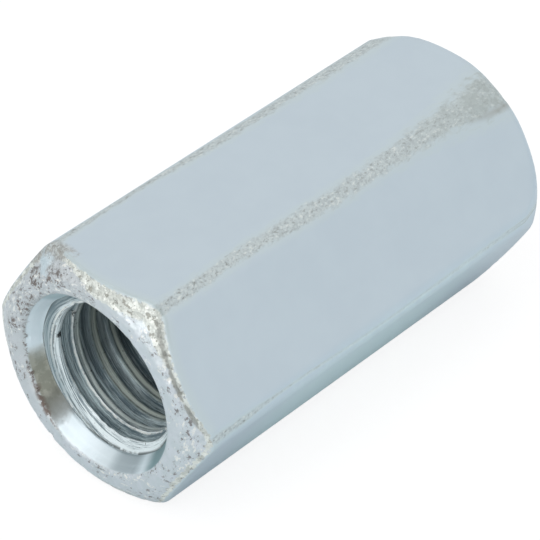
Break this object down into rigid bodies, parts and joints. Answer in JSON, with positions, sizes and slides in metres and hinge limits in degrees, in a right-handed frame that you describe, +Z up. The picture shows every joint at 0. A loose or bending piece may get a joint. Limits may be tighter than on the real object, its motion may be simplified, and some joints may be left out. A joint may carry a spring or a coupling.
{
  "type": "coupling nut",
  "caption": "Long hexagonal nut, threaded right through, that joins threaded rods end to end.",
  "frame": {"origin": "centre of the bore, halfway along the nut", "axes": "+X along the bore, from the crisper end to the rounder one; +Z up, out of the flat opposite the one it rests on"},
  "size_m": [0.057, 0.0302, 0.027],
  "materials": {
    "zinc_plated_steel": "satin zinc plate with a pale blue tint, rubbed dull and pitted on the corners and end faces"
  },
  "bodies": {
    "root": {"coupling_nut": "zinc_plated_steel"}
  },
  "joints": []
}
